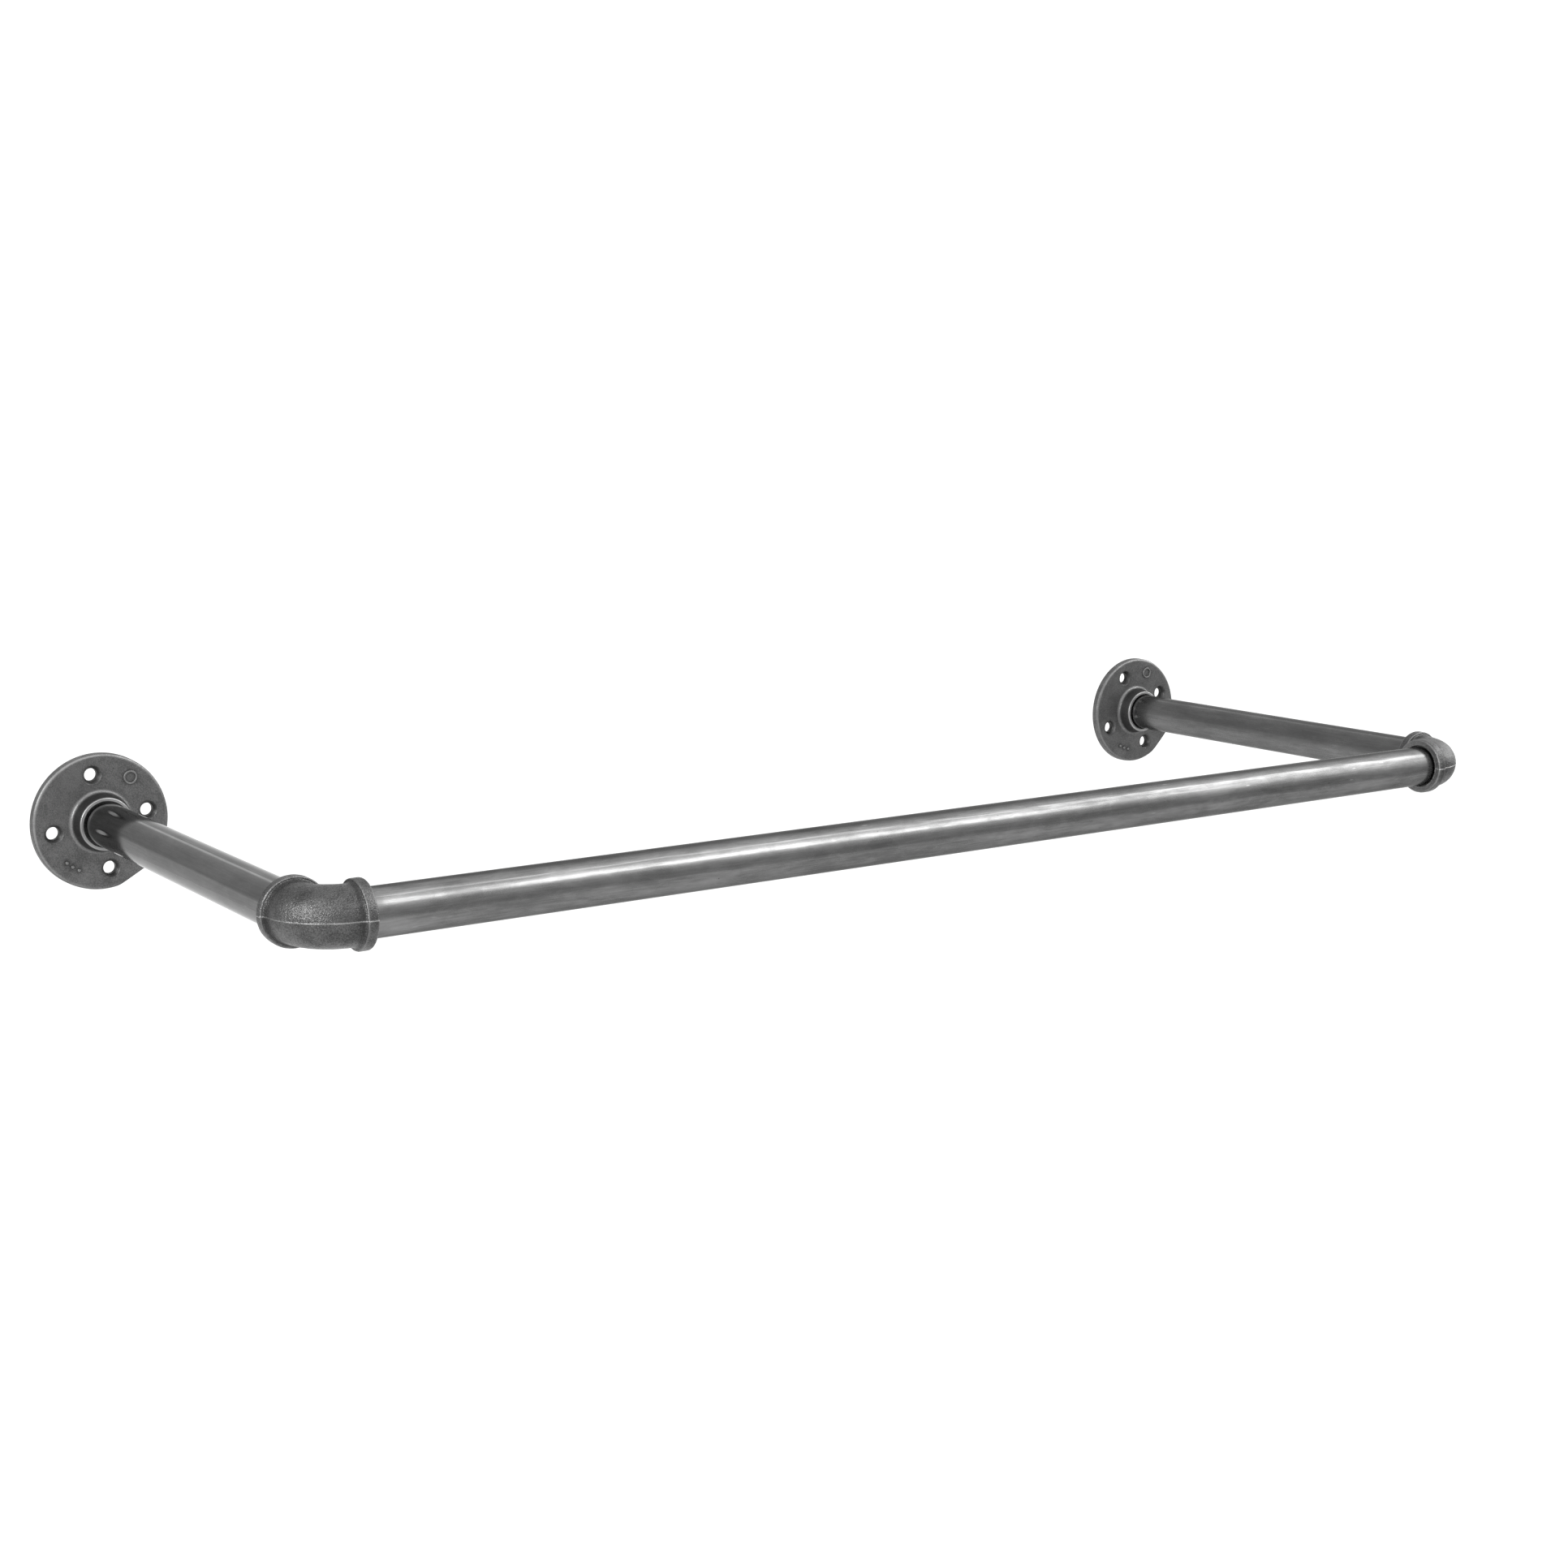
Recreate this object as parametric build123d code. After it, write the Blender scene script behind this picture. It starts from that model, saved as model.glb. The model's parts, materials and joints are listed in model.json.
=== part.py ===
from build123d import *
import os

# Curtain rail made of three-quarter-inch steel pipe and screwed cast-iron fittings.
# A front rail runs parallel to the wall between two elbows. From each elbow a side pipe
# runs back to a round flange that is screwed to the wall.
#
# Frame, in millimetres: the origin is the centre of the left flange's wall face.
# +X runs along the wall to the right flange, +Y goes into the wall and +Z is up,
# so the whole rail stands at negative Y, in front of the wall.

# ---- Layout ----
rail_span = 855.0  # between the axes of the two side pipes
wall_to_rail = 320.0  # from the wall to the axis of the front rail

# ---- Pipe: DN 20, three quarters of an inch ----
pipe_diameter = 26.9
pipe_wall = 2.6
pipe_bore_chamfer = 0.5

# ---- Tapered pipe thread, drawn as a plain cone at its mean diameter ----
thread_length = 12.0  # screwed length in every fitting
thread_depth = 0.7  # from the pipe's surface down to the mean thread
thread_taper = 1 / 16  # diameter lost per millimetre of length
thread_runout = 0.8  # thread left free between the seat and the full pipe

# ---- Mouth of every fitting, a plain recess in front of the thread ----
mouth_clearance = 0.75  # radial gap round the pipe
mouth_depth = 2.0

# ---- Wall flanges ----
flange_thickness = 5.5
flange_edge_radius = 1.8
flange_margin = 6.7  # from a countersink to the flange's edge
hub_foot_wall = 4.2  # hub wall outside the mouth, where it leaves the plate
hub_face_wall = 2.0  # hub wall outside the mouth, at its end face
hub_foot_fillet = 2.2
hub_rim_radius = 0.8
pipe_to_wall_gap = 1.5  # from the end of a side pipe to the wall
screw_count = 4
screw_hole_diameter = 7.8
countersink_lip = 1.9  # radial width of the cone round a screw hole
countersink_depth = 2.4
screw_head_room = 3.1  # from the foot of the hub's fillet to a countersink
left_flange_turn = 8.7  # degrees, as each flange stands when its thread is tight
right_flange_turn = 24.2

# ---- Elbows ----
corner_clearance = 1.6  # from a pipe's end to the line of the crossing pipe
cavity_step = 0.2  # the passage is this much smaller in radius than the thread's end
elbow_wall = 4.3
band_wall = 4.7  # band wall outside the mouth
band_width = 6.4
band_mouth_radius = 1.4
band_back_radius = 1.0
band_foot_width = 1.5  # sloping step between the body and the band
band_foot_height = 0.9
ridge_height = 0.4  # moulding ridge where the two halves of the mould met
ridge_width = 0.8

# ---- Sizes that follow ----
pipe_radius = pipe_diameter / 2
pipe_bore_radius = pipe_radius - pipe_wall
mouth_radius = pipe_radius + mouth_clearance
seat_radius = pipe_radius - thread_depth  # thread at the outer end of its seat
seat_end_radius = seat_radius - thread_length * thread_taper / 2

hub_height = pipe_to_wall_gap + thread_length + mouth_depth
hub_foot_radius = mouth_radius + hub_foot_wall
hub_face_radius = mouth_radius + hub_face_wall
screw_hole_radius = screw_hole_diameter / 2
countersink_radius = screw_hole_radius + countersink_lip
screw_circle_radius = hub_foot_radius + hub_foot_fillet + screw_head_room + countersink_radius
flange_radius = screw_circle_radius + countersink_radius + flange_margin

pipe_end_from_corner = seat_end_radius + corner_clearance
elbow_reach = pipe_end_from_corner + thread_length + mouth_depth
bend_radius = elbow_reach - band_width
cavity_radius = seat_end_radius - cavity_step
body_radius = cavity_radius + elbow_wall
band_radius = mouth_radius + band_wall

side_pipe_length = wall_to_rail - pipe_to_wall_gap - pipe_end_from_corner
front_rail_length = rail_span - 2 * pipe_end_from_corner


def turned(points, rounded=()):
    """Solid turned about Z from a closed outline of (radius, height) points.

    rounded holds (point, radius) pairs for the outline's corners that are rounded.
    """
    outline = Plane.XZ * make_face(Polyline(*points, close=True))
    for (radius, height), fillet_radius in rounded:
        corner = outline.vertices().sort_by_distance(Vector(radius, 0, height))[0]
        outline = fillet(corner, fillet_radius)
    return revolve(outline, Axis.Z)


def screwed_socket(depth):
    """Hollow of a fitting's mouth at Z = 0, going down: the plain recess, then the thread."""
    end = -mouth_depth - depth
    end_radius = seat_radius - depth * thread_taper / 2
    return turned(
        [
            (0, 0),
            (mouth_radius, 0),
            (mouth_radius, -mouth_depth),
            (seat_radius, -mouth_depth),
            (end_radius, end),
            (0, end),
        ]
    )


def threaded_pipe(length):
    """Pipe along +Z from 0 to length, with a tapered thread and a chamfered bore at each end."""
    shoulder = thread_length + thread_runout
    shoulder_radius = seat_radius + thread_runout * thread_taper / 2
    pipe = turned(
        [
            (pipe_bore_radius, 0),
            (seat_end_radius, 0),
            (shoulder_radius, shoulder),
            (pipe_radius, shoulder),
            (pipe_radius, length - shoulder),
            (shoulder_radius, length - shoulder),
            (seat_end_radius, length),
            (pipe_bore_radius, length),
        ]
    )
    bore_edges = pipe.edges().filter_by(GeomType.CIRCLE)
    bore_edges = bore_edges.filter_by(lambda edge: abs(edge.radius - pipe_bore_radius) < 0.01)
    return chamfer(bore_edges, pipe_bore_chamfer)


def screw_hole():
    """Through hole along Z with its countersink opening at the plate's front."""
    cone_start = flange_thickness - countersink_depth
    return turned(
        [
            (0, 0),
            (screw_hole_radius, 0),
            (screw_hole_radius, cone_start),
            (countersink_radius, flange_thickness),
            (0, flange_thickness),
        ]
    )


def wall_flange(turn):
    """Round wall flange: wall face on Z = 0, hub towards +Z, first screw hole at turn degrees."""
    plate_edge = (flange_radius, flange_thickness)
    hub_foot = (hub_foot_radius, flange_thickness)
    hub_rim = (hub_face_radius, hub_height)
    flange = turned(
        [(0, 0), (flange_radius, 0), plate_edge, hub_foot, hub_rim, (0, hub_height)],
        [(plate_edge, flange_edge_radius), (hub_foot, hub_foot_fillet), (hub_rim, hub_rim_radius)],
    )
    flange -= Pos(0, 0, hub_height) * screwed_socket(hub_height - mouth_depth)
    for index in range(screw_count):
        angle = turn + index * 360 / screw_count
        flange -= Rot(0, 0, angle) * Pos(screw_circle_radius, 0, 0) * screw_hole()
    return flange


def elbow_leg(grow):
    """Band and sloping foot of one leg along +Z, with every radius larger by grow.

    The foot starts as far inside the body as it ends outside, so it crosses the body's skin.
    """
    band_start = elbow_reach - band_width
    foot_start = band_start - band_foot_width
    band_back = (band_radius + grow, band_start)
    band_mouth = (band_radius + grow, elbow_reach)
    return turned(
        [
            (0, foot_start),
            (body_radius - band_foot_height + grow, foot_start),
            (body_radius + band_foot_height + grow, band_start),
            band_back,
            band_mouth,
            (0, elbow_reach),
        ],
        [(band_back, band_back_radius), (band_mouth, band_mouth_radius)],
    )


def elbow_bend(radius):
    """Quarter of a ring of round section between the legs along +X and +Y."""
    section = Plane.YZ.offset(bend_radius) * Circle(radius)
    centre_line = Axis((bend_radius, bend_radius, 0), (0, 0, 1))
    return revolve(section, centre_line, revolution_arc=-90)


def on_both_legs(shape):
    """The shape, drawn along +Z, laid along +X and along +Y."""
    return Rot(0, 90, 0) * shape + Rot(-90, 0, 0) * shape


def elbow_skin(grow):
    """Outside of the elbow as one solid, with every radius larger by grow."""
    return elbow_bend(body_radius + grow) + on_both_legs(elbow_leg(grow))


def pipe_elbow():
    """Elbow with its corner at the origin and its mouths facing +X and +Y."""
    ridge = elbow_skin(ridge_height) & Box(4 * elbow_reach, 4 * elbow_reach, ridge_width)
    elbow = elbow_skin(0) + ridge
    elbow -= elbow_bend(cavity_radius)
    elbow -= on_both_legs(Pos(0, 0, elbow_reach) * screwed_socket(thread_length))
    return elbow


# ---- Placing: every piece is drawn upright and then laid where it belongs ----
out_of_wall = Rot(90, 0, 0)  # turns +Z to -Y, away from the wall
along_wall = Rot(0, 90, 0)  # turns +Z to +X
left_side = Pos(0, 0, 0)
right_side = Pos(rail_span, 0, 0)
left_corner = Pos(0, -wall_to_rail, 0)
right_corner = Pos(rail_span, -wall_to_rail, 0)

side_pipe = Pos(0, -pipe_to_wall_gap, 0) * out_of_wall * threaded_pipe(side_pipe_length)
front_pipe = Pos(pipe_end_from_corner, 0, 0) * along_wall * threaded_pipe(front_rail_length)

nodes = {
    "left_flange": left_side * out_of_wall * wall_flange(left_flange_turn),
    "right_flange": right_side * out_of_wall * wall_flange(right_flange_turn),
    "left_side_pipe": left_side * side_pipe,
    "right_side_pipe": right_side * side_pipe,
    "left_elbow": left_corner * pipe_elbow(),
    "right_elbow": right_corner * Rot(0, 0, 90) * pipe_elbow(),
    "front_rail": left_corner * front_pipe,
}

os.makedirs("parts", exist_ok=True)
for name, shape in nodes.items():
    export_step(shape, f"parts/{name}.step")
print(f"flange {2 * flange_radius:.1f} mm across, screw circle {2 * screw_circle_radius:.1f} mm")
print(f"elbow reach {elbow_reach:.2f} mm, bend radius {bend_radius:.2f} mm")
print(f"front rail {front_rail_length:.1f} mm, side pipes {side_pipe_length:.1f} mm")
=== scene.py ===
# %% [markdown]
# # A curtain rail of screwed steel pipe
#
# The rail is three lengths of three-quarter-inch steel pipe, two cast-iron elbows and two
# cast-iron wall flanges, all screwed together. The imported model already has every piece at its
# real size and in its real place, but its round faces are made of flat strips and its castings
# are as clean as a drawing. This lesson makes each piece again as a fine surface worked out with
# numpy, in exactly the same place, and then gives it the skin of the real thing: drawn and
# lacquered steel for the pipes, sand-cast iron for the fittings.

# %% Load the frame
import json
import math

import bmesh
import bpy
import numpy as np
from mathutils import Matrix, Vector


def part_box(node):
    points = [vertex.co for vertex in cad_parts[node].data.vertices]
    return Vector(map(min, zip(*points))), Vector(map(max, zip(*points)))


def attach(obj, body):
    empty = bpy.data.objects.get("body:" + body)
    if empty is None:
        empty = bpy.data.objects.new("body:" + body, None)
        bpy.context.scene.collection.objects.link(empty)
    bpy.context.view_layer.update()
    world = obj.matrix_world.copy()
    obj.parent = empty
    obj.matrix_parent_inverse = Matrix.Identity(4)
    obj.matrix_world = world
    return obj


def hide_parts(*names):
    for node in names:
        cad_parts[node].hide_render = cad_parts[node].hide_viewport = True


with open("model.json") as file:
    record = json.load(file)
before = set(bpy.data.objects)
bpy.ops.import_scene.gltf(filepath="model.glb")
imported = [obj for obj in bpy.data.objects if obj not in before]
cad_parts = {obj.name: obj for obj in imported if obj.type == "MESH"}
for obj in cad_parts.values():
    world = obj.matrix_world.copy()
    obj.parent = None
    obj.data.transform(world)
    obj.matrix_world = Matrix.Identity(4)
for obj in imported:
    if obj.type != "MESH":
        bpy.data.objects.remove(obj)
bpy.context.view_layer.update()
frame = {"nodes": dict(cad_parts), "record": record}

print("nodes:", ", ".join(frame["nodes"]))

# %% [markdown]
# ## Sizes
#
# Anything that the frame can tell is read from it: the box of a node gives a pipe's radius, a
# flange's diameter or how far an elbow reaches. What a box can't tell, such as a wall thickness
# or the rounding of an edge, is a named size in millimetres, turned to metres once.

# %% Sizes from the frame
MM = 0.001


def node_box(name):
    """Lowest and highest corner of a node, as two numpy points in metres."""
    return [np.array(corner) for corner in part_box(name)]


mounts = {mount["name"]: mount for mount in frame["record"]["mounts"]}
bolts = mounts["left_wall_bolts"]["dims"]
right_axis_x = mounts["right_wall_bolts"]["pos_m"][0]
flange_low, flange_high = node_box("left_flange")
elbow_low, elbow_high = node_box("left_elbow")
rail_low, rail_high = node_box("front_rail")
side_pipe_end = node_box("left_side_pipe")[1]

rail_y = (rail_low[1] + rail_high[1]) / 2
pipe_radius = (rail_high[2] - rail_low[2]) / 2
flange_radius = (flange_high[0] - flange_low[0]) / 2
hub_height = -flange_low[1]
elbow_reach = elbow_high[0]
band_radius = elbow_high[2]
ridge_height = -elbow_low[0] - band_radius
screw_circle_radius = bolts["pcd_mm"] * MM / 2
screw_hole_radius = bolts["hole_r_mm"] * MM
print("pipe radius %.2f mm, flange radius %.2f mm" % (pipe_radius / MM, flange_radius / MM))
print("elbow reach %.2f mm, ridge %.2f mm" % (elbow_reach / MM, ridge_height / MM))

# %% Sizes that a box can't tell
PIPE_WALL = 2.6 * MM
THREAD_DEPTH = 0.7 * MM
THREAD_RUNOUT = 0.8 * MM
THREAD_LENGTH = 12.0 * MM + THREAD_RUNOUT
THREAD_TAPER = 1 / 32  # radius lost per length
MOUTH_CLEARANCE = 0.75 * MM
MOUTH_DEPTH = 2.0 * MM
PLATE_THICKNESS = 5.5 * MM
PLATE_EDGE_RADIUS = 1.8 * MM
PLATE_BACK_RADIUS = 0.5 * MM
HUB_FOOT_WALL = 4.2 * MM
HUB_FACE_WALL = 2.0 * MM
HUB_FOOT_FILLET = 2.2 * MM
HUB_RIM_RADIUS = 0.8 * MM
COUNTERSINK_LIP = 1.9 * MM
COUNTERSINK_DEPTH = 2.4 * MM
FLANGE_TURN = {"left_flange": 8.7, "right_flange": 24.2}  # degrees, to the first screw hole
BODY_RADIUS = 16.475 * MM
BAND_WIDTH = 6.4 * MM
BAND_MOUTH_RADIUS = 1.4 * MM
BAND_BACK_RADIUS = 1.0 * MM
FOOT_WIDTH = 1.5 * MM
FOOT_HEIGHT = 0.9 * MM
PASSAGE_RADIUS = 13.9 * MM
RIDGE_HALF_WIDTH = 0.3 * MM
SMALL_ROUNDING = 0.4 * MM

mouth_radius = pipe_radius + MOUTH_CLEARANCE
seat_radius = pipe_radius - THREAD_DEPTH
bend_radius = elbow_reach - BAND_WIDTH
print("mouth radius %.2f mm, bend radius %.2f mm" % (mouth_radius / MM, bend_radius / MM))

# %% [markdown]
# ## Three small tools for shapes
#
# Everything on this rail is an outline carried round a path: round a straight axis for a pipe
# or a hub, along a quarter circle for an elbow. So three tools are enough. The first turns a
# few corner points into a dense outline with true arcs at its rounded corners. The second turns
# a grid of points into a mesh, and the third is a smooth noise for uneven castings.

# %% Outline with rounded corners
def rounded_outline(corners, spacing, closed=True):
    """Dense (n, 2) outline through corners of (a, b, rounding radius).

    A corner of radius r becomes an arc. The arc touches both edges at a distance
    r * tan(half the turn) from the corner, and its points are centre + r * (cos, sin).
    Straight stretches get a point about every spacing.
    """
    points = np.array([corner[:2] for corner in corners], float)
    radii = [corner[2] if len(corner) > 2 else 0.0 for corner in corners]
    stretches = []
    for index, radius in enumerate(radii):
        before, here, after = points[index - 1], points[index], points[(index + 1) % len(points)]
        end_of_open_line = not closed and index in (0, len(radii) - 1)
        if radius == 0 or end_of_open_line:
            stretches.append(here[None])
            continue
        go_in = (here - before) / np.linalg.norm(here - before)
        go_out = (after - here) / np.linalg.norm(after - here)
        cross = go_in[0] * go_out[1] - go_in[1] * go_out[0]
        turn = math.atan2(cross, go_in @ go_out)
        side = np.array([-go_in[1], go_in[0]]) * np.sign(turn)
        start = here - go_in * radius * math.tan(abs(turn) / 2)
        count = max(4, int(abs(turn) * radius / spacing) + 4)
        steps = np.linspace(0, abs(turn), count)[:, None]
        arc = start + radius * (np.sin(steps) * go_in + (1 - np.cos(steps)) * side)
        stretches.append(arc)
    dense = []
    for index, stretch in enumerate(stretches):
        dense.append(stretch)
        if index == len(stretches) - 1 and not closed:
            break
        gap_end = stretches[(index + 1) % len(stretches)][0]
        gap = np.linalg.norm(gap_end - stretch[-1])
        share = np.linspace(0, 1, max(1, round(gap / spacing)) + 1)[1:-1, None]
        dense.append(stretch[-1] + share * (gap_end - stretch[-1]))
    return np.concatenate(dense)

# %% Grid to mesh
MERGE_DISTANCE = 0.002 * MM
SHARP_ANGLE = 40


def grid_faces(rows, columns, wrap_rows, wrap_columns, first=0):
    """Quads of a grid of rows x columns points, numbered row by row from first."""
    row = np.arange(rows if wrap_rows else rows - 1)[:, None]
    column = np.arange(columns if wrap_columns else columns - 1)[None]
    next_row = (row + 1) % rows
    next_column = (column + 1) % columns
    corners = [
        row * columns + column,
        row * columns + next_column,
        next_row * columns + next_column,
        next_row * columns + column,
    ]
    return np.stack([c.ravel() for c in np.broadcast_arrays(*corners)], 1) + first


def mesh_object(name, grids, merge=MERGE_DISTANCE):
    """One closed mesh from grids of (points, wrap rows, wrap columns), with doubles merged.

    Its faces are turned outwards and its smooth shading breaks at edges over SHARP_ANGLE.
    """
    vertices, faces, first = [], [], 0
    for points, wrap_rows, wrap_columns in grids:
        rows, columns = points.shape[:2]
        vertices.append(points.reshape(-1, 3))
        faces.append(grid_faces(rows, columns, wrap_rows, wrap_columns, first))
        first += rows * columns
    mesh = bpy.data.meshes.new(name)
    mesh.from_pydata(np.concatenate(vertices), [], np.concatenate(faces).tolist())
    shell = bmesh.new()
    shell.from_mesh(mesh)
    bmesh.ops.remove_doubles(shell, verts=shell.verts, dist=merge)
    bmesh.ops.recalc_face_normals(shell, faces=shell.faces)
    open_edges = sum(not edge.is_manifold for edge in shell.edges)
    shell.to_mesh(mesh)
    shell.free()
    mesh.polygons.foreach_set("use_smooth", np.ones(len(mesh.polygons), bool))
    mesh.set_sharp_from_angle(angle=math.radians(SHARP_ANGLE))
    piece = bpy.data.objects.new(name, mesh)
    bpy.context.scene.collection.objects.link(piece)
    print(name, len(mesh.vertices), "points,", open_edges, "open edges")
    return piece

# %% Read and change a mesh
def vertex_array(piece, field="co"):
    """Every vertex's position or normal, as an (n, 3) array."""
    values = np.empty(len(piece.data.vertices) * 3, np.float32)
    piece.data.vertices.foreach_get(field, values)
    return values.reshape(-1, 3).astype(float)


def move_vertices(piece, points):
    """Puts every vertex at its new place."""
    piece.data.vertices.foreach_set("co", points.astype(np.float32).ravel())
    piece.data.update()


def set_attribute(piece, name, values):
    """Stores one number per point, for a material to read."""
    attribute = piece.data.attributes.new(name, "FLOAT", "POINT")
    attribute.data.foreach_set("value", values.astype(np.float32))


def peak(value, middle, width):
    """Bell curve exp(-((value - middle) / width)^2)."""
    return np.exp(-(((value - middle) / width) ** 2))

# %% Smooth noise
LATTICE_START = 1000  # keeps every scaled place above zero
LATTICE_SHIFT = 17.3  # cells between one seed's lattice and the next
LATTICE_PRIMES = [73856093, 19349663, 83492791]
SEED_PRIME = 7919
noise_table = np.random.default_rng(20).random(8192)


def noise(points, cell, seed=0):
    """Smooth random value from 0 to 1 at each point, changing over about one cell.

    Each corner of a cubic lattice has a random number, and a point takes the mixture of its
    cell's eight corners, with the weight 3t^2 - 2t^3 along each axis.
    """
    scaled = points / cell + LATTICE_START + seed * LATTICE_SHIFT
    base = np.floor(scaled).astype(np.int64)
    share = scaled - base
    share = share * share * (3 - 2 * share)
    total = np.zeros(len(points))
    for corner in np.ndindex(2, 2, 2):
        lattice = base + corner
        key = (lattice * LATTICE_PRIMES).sum(1) + seed * SEED_PRIME
        weight = np.where(corner, share, 1 - share).prod(1)
        total += weight * noise_table[key % len(noise_table)]
    return total

# %% [markdown]
# ## Pipes
#
# A pipe is a closed outline, its wall cut lengthwise, turned round the pipe's axis. Each end
# has the tapered thread, drawn as a plain cone, which is out of sight inside the fitting. One
# hundred and sixty steps round make the outline look perfectly round even close up. The tube is
# rolled from strip, so it also carries the line of its weld, as a number per point that the
# steel's material reads.

# %% Turn an outline round an axis
def turned(outline, angles):
    """Grid of an (n, 2) outline of (radius, height) carried round Z.

    x = radius * cos(angle), y = radius * sin(angle), z = height.
    """
    radius, height = outline[:, 0], outline[:, 1]
    x = radius * np.cos(angles)[:, None]
    y = radius * np.sin(angles)[:, None]
    z = np.broadcast_to(height, x.shape)
    return np.stack([x, y, z], 2)


def full_turn(steps, start=0.0):
    """Evenly spaced angles once round, in radians, without repeating the first."""
    return start + np.arange(steps) * 2 * np.pi / steps

# %% One pipe
ROUND_STEPS = 160
PIPE_SPACING = 8 * MM
PIPE_ROUNDING = 0.3 * MM
WELD_WIDTH = 1.3 * MM
WELD_ANGLE = {
    "front_rail": math.radians(222),
    "left_side_pipe": math.radians(100),
    "right_side_pipe": 0.6,
}


def pipe(name, along, place):
    """Threaded pipe whose local Z is laid by along(points), starting at place.

    Its weld runs at WELD_ANGLE round the local Z, as a bell curve across the tube.
    """
    low, high = node_box(name)
    length = (high - low).max()
    bore = pipe_radius - PIPE_WALL
    tip = seat_radius - (THREAD_LENGTH - THREAD_RUNOUT) * THREAD_TAPER
    shoulder = tip + THREAD_LENGTH * THREAD_TAPER
    corners = [
        (bore, 0, SMALL_ROUNDING),
        (tip, 0, PIPE_ROUNDING),
        (shoulder, THREAD_LENGTH),
        (pipe_radius, THREAD_LENGTH, PIPE_ROUNDING),
        (pipe_radius, length - THREAD_LENGTH, PIPE_ROUNDING),
        (shoulder, length - THREAD_LENGTH),
        (tip, length, PIPE_ROUNDING),
        (bore, length, SMALL_ROUNDING),
    ]
    outline = rounded_outline(corners, PIPE_SPACING)
    grid = turned(outline, full_turn(ROUND_STEPS))
    tube = mesh_object(name + "_tube", [(along(grid) + place, True, True)])
    points = vertex_array(tube) - place
    weld_angle = WELD_ANGLE[name]
    to_weld = along(np.array([[math.cos(weld_angle), math.sin(weld_angle), 0]]))[0]
    across = np.cross(to_weld, along(np.array([[0, 0, 1.0]]))[0])
    on_this_side = points @ to_weld > 0
    set_attribute(tube, "weld", peak(points @ across, 0, WELD_WIDTH / 2) * on_this_side)
    return tube

# %% Lay the three pipes
def along_x(points):
    """Turns local Z to +X: (x, y, z) becomes (z, y, -x)."""
    return np.stack([points[..., 2], points[..., 1], -points[..., 0]], -1)


def out_of_wall(points):
    """Turns local Z to -Y, away from the wall: (x, y, z) becomes (x, -z, y)."""
    return np.stack([points[..., 0], -points[..., 2], points[..., 1]], -1)


front_rail = pipe("front_rail", along_x, [rail_low[0], rail_y, 0])
left_pipe = pipe("left_side_pipe", out_of_wall, [0, side_pipe_end[1], 0])
right_pipe = pipe("right_side_pipe", out_of_wall, [right_axis_x, side_pipe_end[1], 0])

# %% [markdown]
# ## Wall flanges
#
# The rim and the hub of a flange are turned outlines too, but four screw holes break the round
# plate, and a hole can't be turned. Cutting the holes with a Boolean would work and leave long
# thin faces that shade badly. Here the plate's face is four ruled rings instead: each ring runs
# from the circle round one hole to the border of its quarter of the plate. Neighbouring rings
# share their border points, so that the whole flange closes into one clean skin.

# %% One quarter of the plate's face
ARC_STEPS = 56
EDGE_STEPS = 14
RING_STEPS = 22
SKIN_SPACING = 0.6 * MM
HOLE_LIP_WIDTH = 0.6 * MM
HOLE_LIP_RADIUS = 0.5 * MM
HOLE_WAIST_RADIUS = 0.3 * MM


def quarter_border(outer, inner, middle):
    """Closed border of the quarter of a plate centred on the angle middle, as (n, 2) points."""
    sweep = middle + np.linspace(-np.pi / 4, np.pi / 4, ARC_STEPS + 1)
    arc = np.stack([np.cos(sweep), np.sin(sweep)], 1)
    share = np.linspace(0, 1, EDGE_STEPS + 1)[1:-1, None]
    down = arc[-1] * (outer + (inner - outer) * share)
    up = arc[0] * (inner + (outer - inner) * share)
    return np.concatenate([arc * outer, down, arc[::-1] * inner, up])


def ruled_ring(hole_points, border, height):
    """Grid from a hole's circle to a border: hole + t * (border - hole), at one height."""
    t = np.linspace(0, 1, RING_STEPS + 1)[:, None, None]
    flat = hole_points + t * (border - hole_points)
    return np.dstack([flat, np.full(flat.shape[:2], height)])


def plate_grids(turn, front_outer, front_inner, back_outer, back_inner):
    """Front face, hole wall and back face round each of the four screw holes."""
    hole_outline = rounded_outline(
        [
            (screw_hole_radius + COUNTERSINK_LIP + HOLE_LIP_WIDTH, PLATE_THICKNESS),
            (screw_hole_radius + COUNTERSINK_LIP, PLATE_THICKNESS, HOLE_LIP_RADIUS),
            (screw_hole_radius, PLATE_THICKNESS - COUNTERSINK_DEPTH, HOLE_WAIST_RADIUS),
            (screw_hole_radius, 0),
        ],
        SKIN_SPACING,
        closed=False,
    )
    grids = []
    for middle in full_turn(4, math.radians(turn)):
        centre = screw_circle_radius * np.array([math.cos(middle), math.sin(middle)])
        border = quarter_border(front_outer, front_inner, middle)
        away = border - centre
        direction = away / np.linalg.norm(away, axis=1)[:, None]
        front_circle = centre + hole_outline[0, 0] * direction
        back_circle = centre + hole_outline[-1, 0] * direction
        back_border = quarter_border(back_outer, back_inner, middle)
        wall = centre + hole_outline[:, :1, None] * direction[None]
        wall_height = np.broadcast_to(hole_outline[:, 1:2], wall.shape[:2])
        grids.append((ruled_ring(front_circle, border, PLATE_THICKNESS), False, True))
        grids.append((np.dstack([wall, wall_height]), False, True))
        grids.append((ruled_ring(back_circle, back_border, 0.0), False, True))
    return grids

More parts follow.
